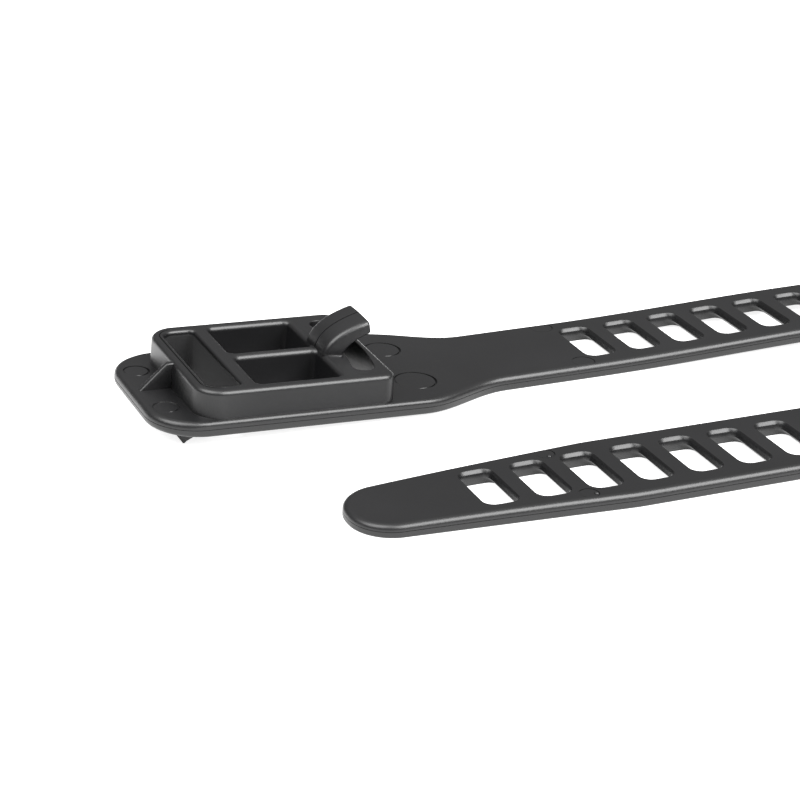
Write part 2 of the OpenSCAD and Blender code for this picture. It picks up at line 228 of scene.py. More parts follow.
def in_millimetres(*groups):
    """The sizes of the groups in millimetres, with those that follow from them."""
    z = SimpleNamespace()
    for group in groups:
        for key in group.__annotations__:
            value = getattr(group, key)
            is_length = group.bl_rna.properties[key].type == "FLOAT"
            setattr(z, key, round(value / MM, 5) if is_length else value)
    z.half = z.width / 2
    z.mid = z.thickness / 2
    z.plate_half = z.plate_width / 2
    z.neck_end = z.neck_start + z.neck_length
    z.rung = z.slot_pitch - z.slot_along
    z.ladder_start = z.neck_end + z.plain_length - z.rung / 2
    z.ladder_end = z.ladder_start + z.slot_count * z.slot_pitch
    z.tip = z.ladder_end - z.rung / 2 + z.tail_solid
    z.tie_length = z.tip + z.plate_lead
    z.kink_from = z.kink_at + z.plate_lead - z.kink_half
    z.kink_to = z.kink_at + z.plate_lead + z.kink_half
    z.pitch_angle = math.atan(z.ridge_height / (z.kink_at + z.ridge_ahead))
    z.kink_radius = 2 * z.kink_half / z.pitch_angle
    z.first_slot = z.neck_end + z.plain_length + z.plate_lead
    z.mid_plain = (z.kink_to + z.first_slot) / 2
    z.bend_length = math.pi * z.bend_radius
    z.bend_from = (z.tie_length - z.bend_length + z.tip_lag) / 2
    z.bend_to = z.bend_from + z.bend_length
    z.lift_top = z.bend_from - z.twist_length
    return z


def strap_frame(z, s):
    """Centre, direction across and direction up of the lying strap, s from the front of the plate."""
    if s < z.kink_to:
        lean = z.pitch_angle * min(1.0, (z.kink_to - s) / (2 * z.kink_half))
        rest = max(0.0, z.kink_from - s)
        centre = Vector((
            z.kink_to - z.mid_plain - z.kink_radius * math.sin(lean) - rest * math.cos(lean), 0.0,
            z.mid + z.kink_radius * (1 - math.cos(lean)) + rest * math.sin(lean)))
        return centre, Vector((0, 1, 0)), Vector((math.sin(lean), 0, math.cos(lean)))
    twist = math.pi / 2 * (smooth((s - z.bend_from + z.twist_length) / z.twist_length)
                           - smooth((s - z.bend_to) / z.twist_length))
    turn = -math.pi * min(1.0, max(0.0, (s - z.bend_from) / z.bend_length))
    lift = z.strap_lift * (smooth((s - z.first_slot) / (z.lift_top - z.first_slot))
                           - smooth((s - z.lift_top) / z.twist_length))
    centre = Vector((
        min(s, z.bend_from) - z.mid_plain - z.bend_radius * math.sin(turn) - max(0.0, s - z.bend_to),
        z.bend_radius * (math.cos(turn) - 1),
        z.half * math.sin(twist) + z.mid * math.cos(twist) + lift))
    across = Vector((-math.sin(turn) * math.cos(twist), math.cos(turn) * math.cos(twist), -math.sin(twist)))
    up = Vector((-math.sin(turn) * math.sin(twist), math.cos(turn) * math.sin(twist), math.cos(twist)))
    return centre, across, up


# ---------------------------------------------------------------- drawing the straight moulding


def placed(name, data):
    """A new object in the scene."""
    made = bpy.data.objects.new(name, data)
    bpy.context.scene.collection.objects.link(made)
    return made


class Shell:
    """A skin built up from rings of points, bands between them and flat fills."""

    def __init__(self):
        self.points = []
        self.faces = []

    def ring(self, points):
        first = len(self.points)
        self.points.extend(tuple(p) for p in points)
        return list(range(first, len(self.points)))

    def band(self, one, other, closed=True):
        count = len(one)
        for i in range(count if closed else count - 1):
            j = (i + 1) % count
            self.faces.append((one[i], one[j], other[j], other[i]))

    def stack(self, rings, closed=True):
        """Rings of points with bands between them; gives back the rings' numbers."""
        made = [self.ring(r) for r in rings]
        for one, other in zip(made, made[1:]):
            self.band(one, other, closed)
        return made

    def cap(self, ring):
        """Closes a ring with a fan round its middle."""
        middle = sum((Vector(self.points[i]) for i in ring), Vector()) / len(ring)
        hub = self.ring([middle])[0]
        for i, a in enumerate(ring):
            self.faces.append((a, ring[(i + 1) % len(ring)], hub))

    def plugged(self, rings):
        """Rings with bands between them, closed at both ends."""
        made = self.stack(rings)
        self.cap(made[0])
        self.cap(made[-1])
        return self

    def fill(self, outline, holes=(), loose=()):
        """Fills a level outline with triangles round its holes and through its loose points."""
        loops = [outline, *holes]
        ids = [i for loop in loops for i in loop] + list(loose)
        flat = [Vector(self.points[i][:2]) for i in ids]
        edges = []
        for loop in loops:
            first = len(edges)
            edges += [(first + k, first + (k + 1) % len(loop)) for k in range(len(loop))]
        sides = [(flat[a].x, flat[a].y, flat[b].x, flat[b].y) for a, b in edges]
        spots, _, triangles, source, _, _ = delaunay_2d_cdt(flat, edges, [], 0, 1e-7)
        for triangle in triangles:
            x = sum(spots[v].x for v in triangle) / 3
            y = sum(spots[v].y for v in triangle) / 3
            crossed = 0
            for ax, ay, bx, by in sides:
                if (ay > y) != (by > y) and x < ax + (y - ay) / (by - ay) * (bx - ax):
                    crossed += 1
            if crossed % 2:
                self.faces.append(tuple(ids[source[v][0]] for v in triangle))

    def mesh(self, name):
        made = bpy.data.meshes.new(name)
        made.from_pydata(self.points, [], self.faces)
        made.update()
        return made


def level(ring, height):
    return [(x, y, height) for x, y in ring]


def arc(cx, cy, radius, first, last, steps):
    """Points round a corner from one angle to another, in degrees."""
    angles = (math.radians(first + (last - first) * i / steps) for i in range(steps + 1))
    return [(cx + radius * math.cos(a), cy + radius * math.sin(a)) for a in angles]


def quarter(steps):
    """The angles of a quarter turn, from nothing on."""
    return [math.pi / 2 * i / steps for i in range(steps + 1)]


def rounded(x0, x1, y0, y1, left, right, grow, steps, along, across):
    """A rounded oblong, drawn outwards by grow, with radius left at x0 and right at x1."""
    arcs = [arc(cx, cy, radius + grow, start, start + 90, steps) for cx, cy, radius, start in (
        (x0 + left, y0 + left, left, 180), (x1 - right, y0 + right, right, 270),
        (x1 - right, y1 - right, right, 0), (x0 + left, y1 - left, left, 90))]
    ring = []
    for k, corner in enumerate(arcs):
        ring += corner
        (xa, ya), (xb, yb) = corner[-1], arcs[(k + 1) % 4][0]
        parts = across if k % 2 else along
        ring += [(xa + (xb - xa) * u, ya + (yb - ya) * u) for u in (i / parts for i in range(1, parts))]
    return ring


def circle(x, y, radius, steps=40):
    return arc(x, y, radius, 0, 360, steps)[:-1]


def lip_profile(radius, top, steps=4):
    """Rounded mouth of a hole: how far outside the wall, and how high, from the face down."""
    return [(radius + GUARD, top)] + [
        (radius * (1 - math.sin(a)), top - radius * (1 - math.cos(a))) for a in quarter(steps)]


def foot_profile(radius, top, steps=4):
    """The same where a hole opens on the underside, from the wall down."""
    return [(out, top - height) for out, height in reversed(lip_profile(radius, top, steps))]


def edge_profile(z, radius, under):
    """A rounded edge from the top face to the underside: how far inside, and how high."""
    mouth, floor = 0.09, 0.04   # half-widths of the parting line
    parting = [(0.0, z.mid + mouth), (z.parting, z.mid + floor), (z.parting, z.mid - floor), (0.0, z.mid - mouth)]
    return lip_profile(radius, z.thickness, 5) + parting + foot_profile(under, z.thickness, 5)


def plan_half(z, x):
    """Half-width of the plate and strap at x, before the taper, with its slope."""
    u = min(1.0, max(0.0, (x - z.neck_start) / z.neck_length))
    drop = z.half - z.plate_half
    return z.plate_half + drop * smooth(u), drop * 6 * u * (1 - u) / z.neck_length


def tail_half(z, x):
    """Half-width of the tapered strap at x."""
    return z.half - z.taper_depth * max(0.0, x - z.tip + z.taper_length) / z.taper_length


def spread(a, b, step):
    """Evenly spaced values from a to b, no further apart than step."""
    count = max(1, math.ceil(abs(b - a) / step - 1e-6))
    return [a + (b - a) * i / count for i in range(count + 1)]


def near_to_far(near, middle=()):
    """An outline from its near side by way of its middle to the mirrored far side."""
    return [*near, *middle, *((x, -y, nx, -ny) for x, y, nx, ny in reversed(near))]


def round_corner(cx, cy, radius, first, last, steps):
    """A round corner of an outline after its first point, with its inward direction."""
    return [(x, y, (cx - x) / radius, (cy - y) / radius) for x, y in arc(cx, cy, radius, first, last, steps)[1:]]


def plate_outline(z):
    """Outline of plate, neck and plain strap with its inward direction, open at the ladder."""
    corner = z.plate_corner
    neck_step, plate_step, front_step = 1.5, 5.0, 4.0
    stations = (spread(z.ladder_start, z.neck_end, STRAP_STEP) + spread(z.neck_end, z.neck_start, neck_step)[1:]
                + spread(z.neck_start, corner - z.plate_lead, plate_step)[1:])
    near = []
    for x in stations:
        half, slope = plan_half(z, x)
        size = math.hypot(slope, 1.0)
        near.append((x, -half, slope / size, 1.0 / size))
    cx, cy = corner - z.plate_lead, corner - z.plate_half
    near += round_corner(cx, cy, corner, 270, 180, 12)
    front = [(-z.plate_lead, y, 1.0, 0.0) for y in spread(cy, -cy, front_step)[1:-1]]
    return near_to_far(near, front)


def tail_outline(z):
    """Outline of the tapered end with its inward direction, open at the ladder."""
    slope = -z.taper_depth / z.taper_length
    size = math.hypot(slope, 1.0)
    straight = spread(z.ladder_end, z.tip - z.tip_radius, STRAP_STEP)
    near = [(x, -tail_half(z, x), slope / size if i else 0.0, 1.0 / size if i else 1.0)
            for i, x in enumerate(straight)]
    cx = z.tip - z.tip_radius
    return near_to_far(near + round_corner(cx, z.tip_radius - tail_half(z, cx), z.tip_radius, 270, 360, 14))


def edge_columns(shell, outline, z, radius_at=None):
    """Runs the edge profile round an open outline; gives back each column's points."""
    columns = []
    for x, y, nx, ny in outline:
        under = z.under_radius + (z.front_radius - z.under_radius) * max(0.0, nx)
        profile = edge_profile(z, radius_at(x) if radius_at else z.edge_radius, under)
        columns.append([(x + inset * nx, y + inset * ny, height) for inset, height in profile])
    return shell.stack(columns, closed=False)


def seam(shell, x, height, place=lambda v: v):
    """The points across the end of a stretch, from far to near."""
    return shell.ring([(x, place(v), height) for v in SEAM_LINES])


def ladder_cell(z):
    """One pitch of the ladder: a slot with half a rung on each side of it."""
    shell = Shell()
    stations = spread(0.0, z.slot_pitch, z.slot_pitch / 6)
    near = edge_columns(shell, [(x, -z.half, 0.0, 1.0) for x in stations], z)
    far = edge_columns(shell, [(x, z.half, 0.0, -1.0) for x in reversed(stations)], z)
    x0, x1, wide, corner = z.rung / 2, z.rung / 2 + z.slot_along, z.slot_across / 2, z.slot_corner
    # the wall from the face down: how far the slot grows, how high, and how much more along the strap
    t, bevel, waist = z.thickness, z.slot_bevel, 0.1
    wall = [(grow, t - drop, -0.5 * grow) for grow, drop in (
        (bevel + GUARD, 0.0), (bevel, 0.0), (bevel * 0.88, 0.05), (bevel * 0.08, bevel * 0.92), (0.0, bevel * 1.08))]
    wall += [(-waist, z.mid + waist, waist - z.slot_draft), (-waist, z.mid - waist, 2 * waist - z.slot_draft)]
    wall += [(grow, height, z.slot_flare) for grow, height in foot_profile(z.under_lip, t, 2)]
    slot = shell.stack([level(rounded(x0 - flare, x1 + flare, -wide, wide, corner, corner, grow, 5, 2, 4), height)
                        for grow, height, flare in wall])
    for k, height, rim in ((0, t, slot[0]), (-1, 0.0, slot[-1])):
        right = seam(shell, z.slot_pitch, height)
        left = seam(shell, 0.0, height)
        shell.fill([c[k] for c in near] + right[::-1] + [c[k] for c in far] + left, [rim])
    return shell


def tapered(z, x, v):
    """Where a point of the untapered ladder goes across the strap: rails narrow more than slots."""
    slot_share = 0.45   # how much of the rails' narrowing the slots take
    loss = z.half - tail_half(z, x)
    far = abs(v)
    edge = z.half - z.edge_radius - GUARD
    slot = z.slot_across / 2 + z.slot_bevel + GUARD
    slot_to = slot * (1 - slot_share * loss / z.half)
    if far <= slot:
        to = far * slot_to / slot
    elif far >= edge:
        to = far - loss
    else:
        to = slot_to + (edge - loss - slot_to) * (far - slot) / (edge - slot)
    return math.copysign(to, v)


def thinned(z, x, height):
    """A height in the strap, lowered towards the tip of the tail."""
    u = max(0.0, x - z.tip + z.taper_length) / z.taper_length
    return height * (1 - z.tip_thinning / z.thickness * u ** 3)


def tail_end(z):
    """The solid tail from the last rung to the round tip."""
    shell = Shell()
    columns = edge_columns(shell, tail_outline(z), z)
    step, narrow = 4.0, 0.7     # spacing of the loose points, and how far they are drawn in
    for k, height in ((0, z.thickness), (-1, 0.0)):
        inner = shell.ring([(x, v * narrow, height) for v in SEAM_LINES
                            for x in spread(z.ladder_end + step, z.tip - 1.5 * step, step)])
        across = seam(shell, z.ladder_end, height, lambda v: tapered(z, z.ladder_end, v))
        shell.fill([c[k] for c in columns] + across, [], inner)
    return shell


def box_wall(z):
    """The raised box from the plate up: a small cove, the leaning wall and the rounded rim."""
    cove, rim, t, top = 0.1, z.rim_radius, z.thickness, z.box_height
    wall = [(z.box_draft + cove + GUARD / 2, t)]
    wall += [(z.box_draft + cove * (1 - math.sin(a)), t + cove * (1 - math.cos(a))) for a in quarter(2)]
    wall += [(rim * (math.cos(a) - 1), top - rim * (1 - math.sin(a))) for a in quarter(6)]
    return wall + [(-rim - GUARD, top)]


def tail_slot_rings(z):
    """The tail slot, right through box and plate, with the witness line of the mould's insert round its left."""
    top, half, draft = z.box_height, z.tail_slot_width / 2, z.tail_slot_draft
    start, end, deep, fade = z.tail_slot_start, z.tail_slot_end, 0.55, 3.0

    def ring(grow):
        return rounded(start, end, -half, half, z.tail_slot_corner, z.pocket_corner, grow, 7, 3, 6)

    rings = []
    for aside, depth in ((0.17, 0.0), (0.13, 0.0), (0.07, deep), (-0.07, deep), (-0.13, 0.0), (-0.17, 0.0)):
        rings.append([(x, y, top - depth * smooth((start + 3.5 - x) / fade)) for x, y in ring(z.insert_line + aside)])
    wall = lip_profile(z.lip, top) + [(-draft / 2, top / 2)]
    wall += [(grow - draft, height) for grow, height in foot_profile(z.under_lip, top)]
    return rings + [level(ring(grow), height) for grow, height in wall]


def pocket_rings(z, side):
    """A blind pocket on one side of the rib, with a rounded mouth and floor."""
    fillet, lean, corner = 0.8, 0.25, z.pocket_corner
    y0, y1 = sorted((side * z.pocket_rib / 2, side * z.pocket_width / 2))
    profile = lip_profile(z.pocket_lip, z.box_height, 5) + [
        (-lean - fillet * (1 - math.cos(a)), z.pocket_floor + fillet * (1 - math.sin(a))) for a in quarter(4)]
    return [level(rounded(z.pocket_start, z.pocket_end, y0, y1, corner, corner, grow, 5, 5, 4), height)
            for grow, height in profile]


def deck_slot_rings(z):
    """The bowed slot in the deck behind the hook, a little narrower half way down."""
    top, radius, lip, waist = z.box_height, z.deck_slot_along / 2, 0.2, 0.08
    reach = z.deck_slot_across / 2 - radius

    def beside(u, out, turn=0.0):
        """A point beside the slot's bowed middle line, at u of its half-length."""
        x = z.deck_slot_start + radius + z.deck_slot_bulge * (1 - u * u)
        angle = math.atan2(2 * z.deck_slot_bulge * u / reach, 1.0) + turn
        return x + out * math.cos(angle), u * reach + out * math.sin(angle)

    def ring(grow):
        points = []
        for side in (1, -1):
            out = side * (radius + grow)
            points += [beside(u, out) for u in spread(-side, side, 0.15)]
            points += [beside(side, out, math.pi * i / 10) for i in range(1, 10)]
        return points

    wall = lip_profile(lip, top, 3) + [(-waist, top / 2)] + foot_profile(z.under_lip, top, 3)
    return [level(ring(grow), height) for grow, height in wall]


def plate_mark(z, x, y, radius, depth):
    """An ejector pin's mark on the plate: a fine groove, open on the far right and closing on the near left."""
    rings = []
    for out, deep, aside in ((0.3, 0.0, 0.2), (0.26, 0.0, 0.2), (0.16, 1.0, 0.16),
                             (-0.1, 1.0, 0.0), (-0.16, 0.0, 0.0), (-0.2, 0.0, 0.0)):
        rings.append([(px, py, z.thickness - depth * deep * smooth(0.6 + 0.35 * (px - x + py - y) / radius))
                      for px, py in circle(x + aside * 0.8, y + aside * 0.6, radius + out)])
    return rings


def head_body(z):
    """Plate, neck and plain strap with the raised box, its slots and its pockets."""
    shell = Shell()
    wide = z.box_width / 2

    def edge_radius(x):
        """Beside the box the plate's edge is rounded less, because the box leaves only a narrow ledge."""
        before, fade_in, fade_out = 3.0, 4.0, 5.0
        beside = smooth((x + before) / fade_in) * smooth((z.neck_start + fade_out - x) / fade_out)
        return z.edge_radius + (z.ledge_radius - z.edge_radius) * beside

    columns = edge_columns(shell, plate_outline(z), z, edge_radius)
    box = shell.stack([level(rounded(0.0, z.box_length, -wide, wide, z.box_corner, z.box_corner_neck,
                                     grow, 8, 8, 6), height) for grow, height in box_wall(z)])
    tail_slot = shell.stack(tail_slot_rings(z))
    pockets = [shell.stack(pocket_rings(z, side)) for side in (-1, 1)]
    deck_slot = shell.stack(deck_slot_rings(z))
    marks = [shell.stack(plate_mark(z, *mark)) for mark in PLATE_MARKS]
    for blind in pockets + marks:
        shell.fill(blind[-1])
    shell.fill(box[-1], [hole[0] for hole in (tail_slot, *pockets, deck_slot)])
    step, first, last = 3.2, z.neck_start + 11.0, z.ladder_start - 3.675    # loose points on the plain strap
    for k, height, holes in ((0, z.thickness, (box, *marks)), (-1, 0.0, (tail_slot, deck_slot))):
        inner = shell.ring([(x, v, height) for x in spread(first, last, step) for v in SEAM_LINES])
        shell.fill([c[k] for c in columns] + seam(shell, z.ladder_start, height), [h[k] for h in holes], inner)
    return shell


def bezier(a, b, c, u):
    return a * (1 - u) ** 2 + b * 2 * u * (1 - u) + c * u * u


def hook(z):
    """The hook: a crowned tongue that leans over the deck slot, rounded along its edges and tip."""
    start, root, reach = z.hook_start, z.hook_root, z.hook_reach
    outer = [Vector((start, 0)), Vector((start + reach * 0.1, z.hook_height * 0.65)),
             Vector((start + reach, z.hook_height))]
    inner = [Vector((start + root, 0)), Vector((start + root * 1.25, z.hook_throat * 0.58)),
             Vector((start + reach, z.hook_throat))]
    line_half = 0.02    # half-width of the line along the back, as a share of the back's own
    crest = (-1.0, -0.75, -0.5, -0.25, -0.045, -0.034, -0.018, 0.018, 0.034, 0.045, 0.25, 0.5, 0.75, 1.0)
    full = 2.2          # half-thickness from which the sides have their whole draft

    def section(middle, out, deep, wide, crown, edge):
        """One rounded section: out is the way to the hook's back, deep its half-thickness."""
        edge, draft = min(edge, 1.2 * deep), z.hook_draft * min(1.0, deep / full) ** 2
        span, foot, low = wide - edge - draft, wide + draft, edge * 0.35
        flat = [(u * span, deep + crown * (1 - u * u) - (z.hook_line if abs(u) < line_half else 0.0)) for u in crest]
        flat += arc(span, deep - edge, edge, 90, 0, 6)[1:] + arc(foot - low, low - deep, low, 0, -90, 6)
        flat += [(u * (foot - low), -deep) for u in (0.5, 0.0, -0.5)]
        flat += arc(low - foot, low - deep, low, -90, -180, 6) + arc(-span, deep - edge, edge, -180, -270, 6)[:-1]
        return [(middle.x + k * out.x, y, z.box_height + middle.y + k * out.y) for y, k in flat]

    def at(u):
        o, i = bezier(*outer, u), bezier(*inner, u)
        return (o + i) / 2, (o - i).normalized(), (o - i).length / 2

    wide, fillet, sunk, round_off = z.hook_width / 2, 0.12, 1.0, 0.75
    middle, out, deep = at(0.0)
    rings = [section(middle - Vector((0, sunk)), out, deep + fillet, wide + fillet, 0.0, z.hook_edge)]
    for u in (0.0, 0.012, 0.03, 0.06, 0.1, 0.16, 0.24, 0.33, 0.42, 0.51, 0.6, 0.69, 0.78, 0.87, 0.96):
        middle, out, deep = at(u)
        flare = fillet * max(0.0, 1 - middle.y / 0.4) ** 2
        rings.append(section(middle - out * flare / 2, out, deep + flare / 2, wide + flare,
                             z.hook_crown * smooth(u / 0.4), z.hook_edge))
    way = Vector((out.y, -out.x))
    for i, a in enumerate(quarter(5)[1:], 1):
        cut = round_off * (1 - math.cos(a))
        rings.append(section(middle + way * round_off * math.sin(a), out, deep - cut, wide - cut,
                             z.hook_crown * (1 - 0.1 * i), max(0.15, z.hook_edge - cut)))
    return Shell().plugged(rings)


def drawn_in(polygon, distance):
    """A convex outline drawn in by a distance on all its sides."""
    made = []
    count = len(polygon)
    for k, here in enumerate(polygon):
        before = (here - polygon[k - 1]).normalized()
        after = (polygon[(k + 1) % count] - here).normalized()
        bisector = Vector((-before.y - after.y, before.x + after.x))
        made.append(here + bisector * (distance / (0.5 * bisector.length_squared)))
    return made


def gusset(z):
    """The thin web that braces the box on the front of the plate."""
    half, edge = z.gusset_thickness / 2, 0.42
    down, along = 0.55, 0.8     # reach of the bend at its top
    sunk, inside = 0.8, 1.2     # how far it runs into the plate and into the box
    top, foot = z.box_height - 0.45, z.thickness - sunk
    slope = (z.gusset_foot - z.gusset_flat) / (top - z.thickness)
    knee = [Vector((along - z.gusset_flat, top)), Vector((-z.gusset_flat, top)),
            Vector((-z.gusset_flat - down * slope, top - down))]
    outline = [Vector((inside, foot)), Vector((inside, top)), *(bezier(*knee, i / 4) for i in range(5)),
               Vector((-z.gusset_foot - sunk * slope, foot))]
    profile = [(-half + edge * (1 - math.cos(a)), edge * (1 - math.sin(a))) for a in quarter(4)]
    profile += [(-y, inset) for y, inset in reversed(profile)]
    return Shell().plugged([[(p.x, y, p.y) for p in drawn_in(outline, inset)] for y, inset in profile])


def pin_ring(z, x, y, radius, side):
    """What the edge of an ejector pin presses into the top of a rail: a fine ring, deeper on one side."""
    top, least, clear = thinned(z, x, z.thickness), 0.02, 0.6

    def groove(out):
        return [(px, py, top - least - z.pin_depth * smooth(0.25 + side * 0.5 * (px - x + py - y) / radius))
                for px, py in circle(x, y, radius + out, 48)]

    def above(out):
        return level(circle(x, y, radius + out, 48), top + clear)

    shell = Shell()
    made = shell.stack([above(0.16), groove(0.12), groove(-0.12), above(-0.16)])
    shell.band(made[-1], made[0])
    return shell


def nib(z, x, y):
    """The small bead of flash left at the edge of a pin mark near the tail."""
    top = thinned(z, x, z.thickness)
    return Shell().plugged([
        level(circle(x, y, z.nib_radius * math.cos(a), 16), top + z.nib_height * math.sin(a))
        for a in (-0.6, 0.0, 0.35, 0.7, 1.05, 1.35)])


def ridge(z):
    """The foot ridge across the underside that the head rests on."""
    foot, blunt, sunk = z.ridge_foot / 2, 0.25, 0.8
    reach, full = z.ridge_length / 2, z.ridge_height
    ends = ((reach + full, 0.05), (reach + 0.4, full - 0.45), (reach - 0.2, full))
    rings = []
    for y, h in [(-y, h) for y, h in ends] + [*reversed(ends)]:
        flank = ((foot, sunk), (foot, 0.0), (blunt * 1.6, -h + 0.3 * h / full), (blunt * 0.7, -h))
        rings.append([(x - z.ridge_ahead, y, height)
                      for x, height in [(-x, height) for x, height in flank] + [*reversed(flank)]])
    return Shell().plugged(rings)


# ---------------------------------------------------------------- node trees


def reckoned(operation, swapped=False):
    """A method of Wire that adds one Math node, with itself last where it is swapped."""
    def method(self, *others):
        values = (*others, self) if swapped else (self, *others)
        return self.bench.node("ShaderNodeMath", {"operation": operation}, dict(enumerate(values)))
    return method


class Wire:
    """A node's output that can be reckoned with: an expression on it adds Math nodes."""

    def __init__(self, bench, socket):
        self.bench = bench
        self.socket = socket

    def out(self, name):
        """Another output of the same node."""
        return Wire(self.bench, self.socket.node.outputs[name])

    __add__, __radd__ = reckoned("ADD"), reckoned("ADD", swapped=True)
    __sub__, __rsub__ = reckoned("SUBTRACT"), reckoned("SUBTRACT", swapped=True)
    __mul__, __rmul__ = reckoned("MULTIPLY"), reckoned("MULTIPLY", swapped=True)
    __truediv__, __rtruediv__ = reckoned("DIVIDE"), reckoned("DIVIDE", swapped=True)
    __abs__ = reckoned("ABSOLUTE")
    floor = reckoned("FLOOR")
    least, most = reckoned("MINIMUM"), reckoned("MAXIMUM")

    def held(self):
        """Held between nothing and one."""
        return self.least(1.0).most(0.0)


class Bench:
    """A node tree under construction."""

    def __init__(self, tree):
        self.tree = tree

    def node(self, kind, settings=None, sockets=None, out=None):
        """Adds a node: its settings first, then the values or wires of its sockets."""
        made = self.tree.nodes.new(kind)
        for key, value in (settings or {}).items():
            setattr(made, key, value)
        for key, value in (sockets or {}).items():
            socket = made.inputs[key] if isinstance(key, int) else next(
                s for s in made.inputs if s.name == key and s.enabled)
            if isinstance(value, Wire):
                self.tree.links.new(value.socket, socket)
            else:
                socket.default_value = value
        if not made.outputs:
            return made
        return Wire(self, made.outputs[out] if out else next(s for s in made.outputs if s.enabled))


def node_group(name, inputs):
    """A Geometry Nodes tree with named inputs; gives back its bench, inputs and their identifiers."""
    tree = bpy.data.node_groups.new(name, "GeometryNodeTree")
    tree.interface.new_socket("Geometry", in_out="INPUT", socket_type="NodeSocketGeometry")
    keys = {}
    for label, kind in inputs:
        keys[label] = tree.interface.new_socket(label, in_out="INPUT", socket_type=kind).identifier
    tree.interface.new_socket("Geometry", in_out="OUTPUT", socket_type="NodeSocketGeometry")
    bench = Bench(tree)
    given = bench.node("NodeGroupInput")
    return bench, given, keys


def end_tree(bench, geometry, material):
    """Ends a tree as every tree here ends: realized and with its material."""
    real = bench.node("GeometryNodeRealizeInstances", None, {"Geometry": geometry})
    dressed = bench.node("GeometryNodeSetMaterial", None, {"Geometry": real, "Material": material})
    bench.node("NodeGroupOutput", None, {0: dressed})


def ladder_tree(material):
    """Repeats one ladder cell along the strap and welds the copies."""
    bench, given, keys = node_group("Ladder rungs", (
        ("Slots", "NodeSocketInt"), ("Pitch", "NodeSocketFloat"), ("Start", "NodeSocketFloat"),
        ("Weld", "NodeSocketFloat")))
    start = bench.node("ShaderNodeCombineXYZ", None, {"X": given.out("Start")})
    offset = bench.node("ShaderNodeCombineXYZ", None, {"X": given.out("Pitch")})
    line = bench.node("GeometryNodeMeshLine", {"mode": "OFFSET"}, {
        "Count": given.out("Slots"), "Start Location": start, "Offset": offset})
    cells = bench.node("GeometryNodeInstanceOnPoints", None, {"Points": line, "Instance": given.out("Geometry")})
    real = bench.node("GeometryNodeRealizeInstances", None, {"Geometry": cells})
    welded = bench.node("GeometryNodeMergeByDistance", None, {"Geometry": real, "Distance": given.out("Weld")})
    end_tree(bench, welded, material)
    return bench.tree, keys


def laying_tree(material):
    """Lays the straight moulding along the stations of its path, in metres."""
    bench, given, keys = node_group("Lay along path", (
        ("Path", "NodeSocketObject"), ("Step", "NodeSocketFloat"), ("Ahead", "NodeSocketFloat"),
        ("Mid height", "NodeSocketFloat"), ("Scale", "NodeSocketFloat")))
    path = bench.node("GeometryNodeObjectInfo", None, {"Object": given.out("Path")}, "Geometry")
    place = bench.node("GeometryNodeInputPosition")
    split = bench.node("ShaderNodeSeparateXYZ", None, {0: place})
    station = (split.out("X") + given.out("Ahead")) / given.out("Step")
    before = station.floor()
    part = station - before

    def sampled(field):
        ends = [bench.node("GeometryNodeSampleIndex", {"data_type": "FLOAT_VECTOR", "clamp": True},
                           {"Geometry": path, "Value": field, "Index": index}) for index in (before, before + 1.0)]
        return bench.node("ShaderNodeMix", {"data_type": "VECTOR"}, {"Factor": part, "A": ends[0], "B": ends[1]})

    def scaled(vector, factor):
        return bench.node("ShaderNodeVectorMath", {"operation": "SCALE"}, {"Vector": vector, "Scale": factor})

    def summed(one, other):
        return bench.node("ShaderNodeVectorMath", {"operation": "ADD"}, {0: one, 1: other})

    across, up = (bench.node("GeometryNodeInputNamedAttribute", {"data_type": "FLOAT_VECTOR"}, {"Name": name})
                  for name in ("across", "up"))
    laid = summed(sampled(place), summed(
        scaled(sampled(across), split.out("Y")),
        scaled(sampled(up), split.out("Z") - given.out("Mid height"))))
    moved = bench.node("GeometryNodeSetPosition", None, {
        "Geometry": given.out("Geometry"), "Position": scaled(laid, given.out("Scale"))})
    end_tree(bench, moved, material)
    return bench.tree, keys


def with_tree(thing, tree, keys, values):
    """Runs a tree on an object and gives back the plain mesh that it makes."""
    modifier = thing.modifiers.new(tree.name, "NODES")
    modifier.node_group = tree
    for label, value in values.items():
        modifier[keys[label]] = value
    return baked(thing)


def baked(thing):
    """The mesh of an object with its modifiers, which are then removed with the object."""
    bpy.context.view_layer.update()
    graph = bpy.context.evaluated_depsgraph_get()
    mesh = bpy.data.meshes.new_from_object(thing.evaluated_get(graph))
    thing.modifiers.clear()
    discard(thing)
    return mesh


def discard(thing):
    """Removes an object, and its mesh where nothing else uses it."""
    mesh = thing.data
    bpy.data.objects.remove(thing)
    if mesh.users == 0:
        bpy.data.meshes.remove(mesh)


# ---------------------------------------------------------------- finish


